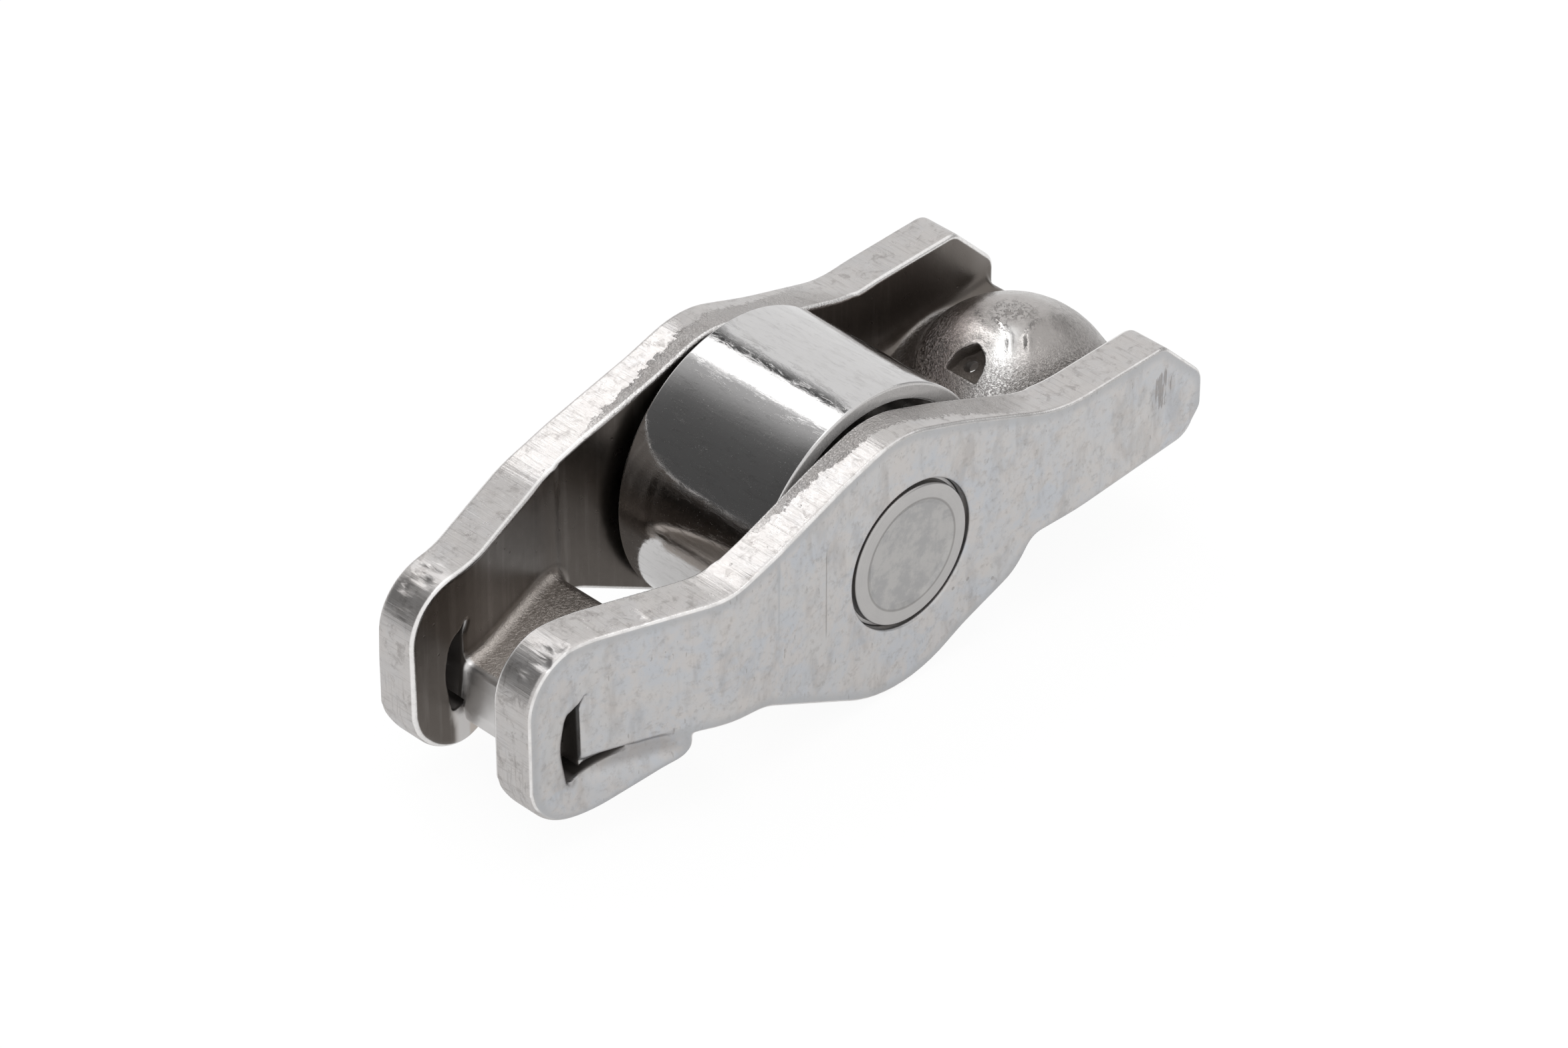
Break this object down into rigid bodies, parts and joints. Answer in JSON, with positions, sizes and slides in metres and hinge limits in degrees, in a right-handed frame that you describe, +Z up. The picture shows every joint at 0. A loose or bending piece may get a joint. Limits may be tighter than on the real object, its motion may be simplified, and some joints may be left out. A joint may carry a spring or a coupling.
{
  "type": "roller rocker arm",
  "caption": "Finger-type rocker arm of pressed sheet steel with a domed ball socket, a valve pad between stem guide lips, and a cam roller on needle bearings between its walls.",
  "frame": {"origin": "centre of the pivot ball's seat inside the dome, on the arm's middle plane", "axes": "+X from the valve end to the pivot end along the arm, +Y along the roller's axle, +Z up from the ball socket's mouth to the dome's crown"},
  "size_m": [0.0481, 0.0188, 0.0175],
  "materials": {
    "arm_steel": "tumbled satin, case hardened",
    "pin_steel": "fine turned ends, ground side",
    "roller_steel": "fine ground, nearly mirror bright",
    "needle_steel": "ground bearing steel"
  },
  "bodies": {
    "arm": {"arm_body": "arm_steel", "axle_pin": "pin_steel"},
    "roller": {"cam_roller": "roller_steel"},
    "needle_set": {"needle_01": "needle_steel", "needle_02": "needle_steel", "needle_03": "needle_steel", "needle_04": "needle_steel", "needle_05": "needle_steel", "needle_06": "needle_steel", "needle_07": "needle_steel", "needle_08": "needle_steel", "needle_09": "needle_steel", "needle_10": "needle_steel", "needle_11": "needle_steel", "needle_12": "needle_steel", "needle_13": "needle_steel", "needle_14": "needle_steel", "needle_15": "needle_steel", "needle_16": "needle_steel", "needle_17": "needle_steel"}
  },
  "joints": [
    {"name": "roller_spin", "type": "hinge", "parent": "arm", "child": "roller", "pos_m": [-0.0168, 0, 0.00175], "axis": [0, 1, 0], "continuous": true},
    {"name": "needle_orbit", "type": "hinge", "parent": "arm", "child": "needle_set", "pos_m": [-0.0168, 0, 0.00175], "axis": [0, 1, 0], "continuous": true}
  ],
  "couplings": [
    {"joint": "needle_orbit", "follows": "roller_spin", "ratio": 0.59239}
  ]
}
